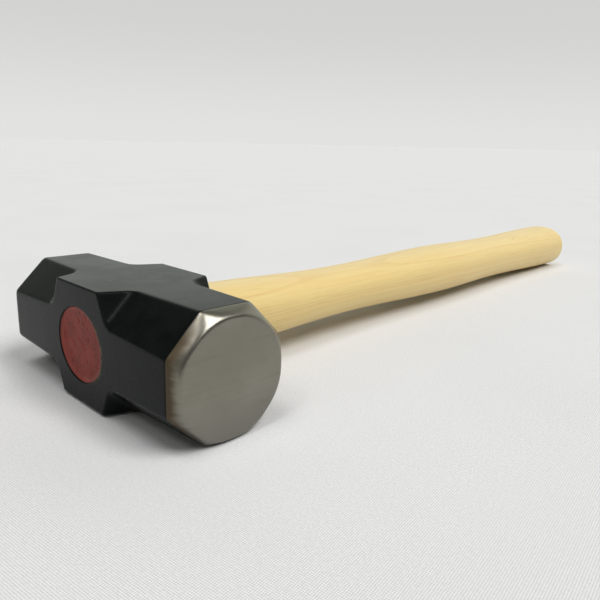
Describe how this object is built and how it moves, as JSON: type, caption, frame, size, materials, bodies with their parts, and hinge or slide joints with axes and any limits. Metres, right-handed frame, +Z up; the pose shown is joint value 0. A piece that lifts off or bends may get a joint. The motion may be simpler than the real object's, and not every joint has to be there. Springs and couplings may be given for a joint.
{
  "type": "sledge hammer",
  "caption": "Octagonal double-face sledge hammer: black forged head with bright ground striking faces, on an oval wooden handle wedged in the eye under a red resin seal.",
  "frame": {"origin": "centre of the lower cheek, the flat side of the head that it lies on, straight below the middle of the eye", "axes": "+X along the head towards one striking face, +Y along the handle away from the head, +Z up towards the other cheek"},
  "size_m": [0.118, 0.4005, 0.044],
  "materials": {
    "head_lacquer": "satin black lacquer over a forged steel head, with the striking faces and their bevels ground bright",
    "handle_wood": "pale straight-grained hardwood, sanded smooth",
    "wedge_wood": "sawn hardwood",
    "wedge_steel": "plain rolled steel",
    "seal_resin": "poured red resin, dull, with small pits"
  },
  "bodies": {
    "root": {"head": "head_lacquer", "handle": "handle_wood", "wooden_wedge": "wedge_wood", "steel_wedge_left": "wedge_steel", "steel_wedge_right": "wedge_steel", "eye_seal": "seal_resin"}
  },
  "joints": []
}
